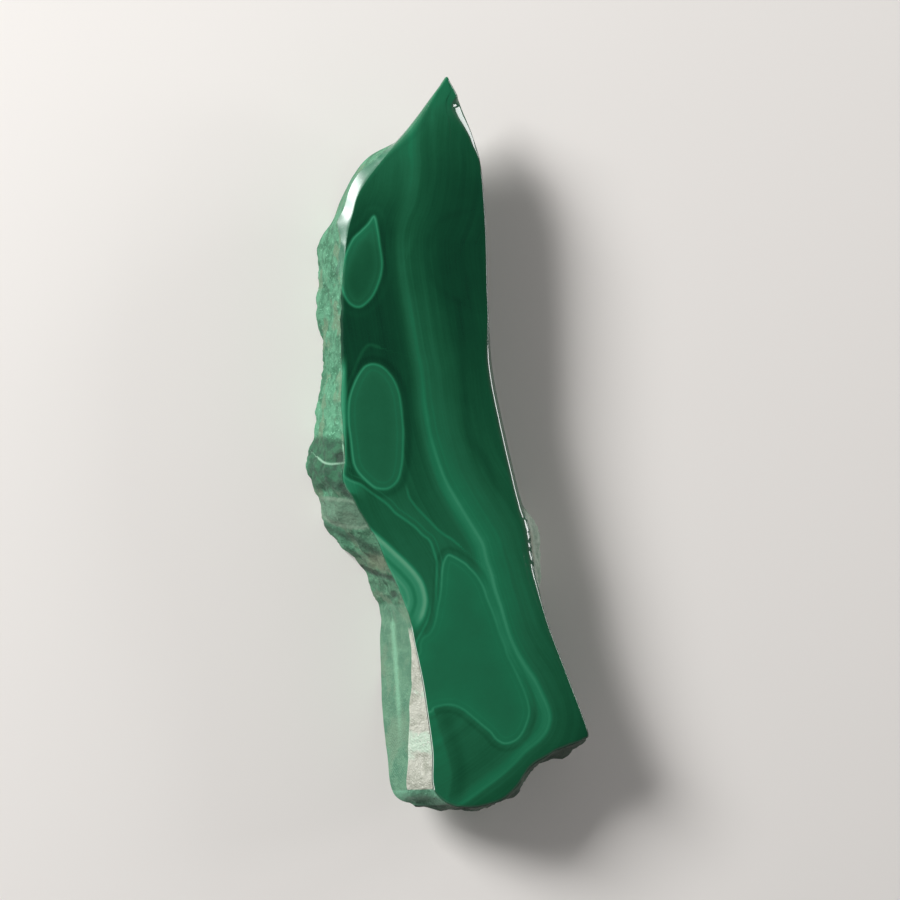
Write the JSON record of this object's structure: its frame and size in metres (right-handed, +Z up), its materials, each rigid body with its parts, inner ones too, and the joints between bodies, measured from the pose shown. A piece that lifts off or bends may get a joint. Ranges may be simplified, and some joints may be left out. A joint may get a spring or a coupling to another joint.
{
  "type": "polished malachite slab",
  "caption": "Pointed slab of banded green malachite with a polished face, rough and sawn sides and a flat sawn back to lie on.",
  "frame": {"origin": "on the flat sawn back, under the middle of the slab, at the back mount's point", "axes": "+Z up out of the polished face, +Y along the slab towards its pointed end, +X to the right seen from above"},
  "size_m": [0.0387, 0.1027, 0.0124],
  "materials": {
    "malachite": "polished face, rough broken and sawn sides"
  },
  "bodies": {
    "root": {"malachite_slab": "malachite"}
  },
  "joints": []
}
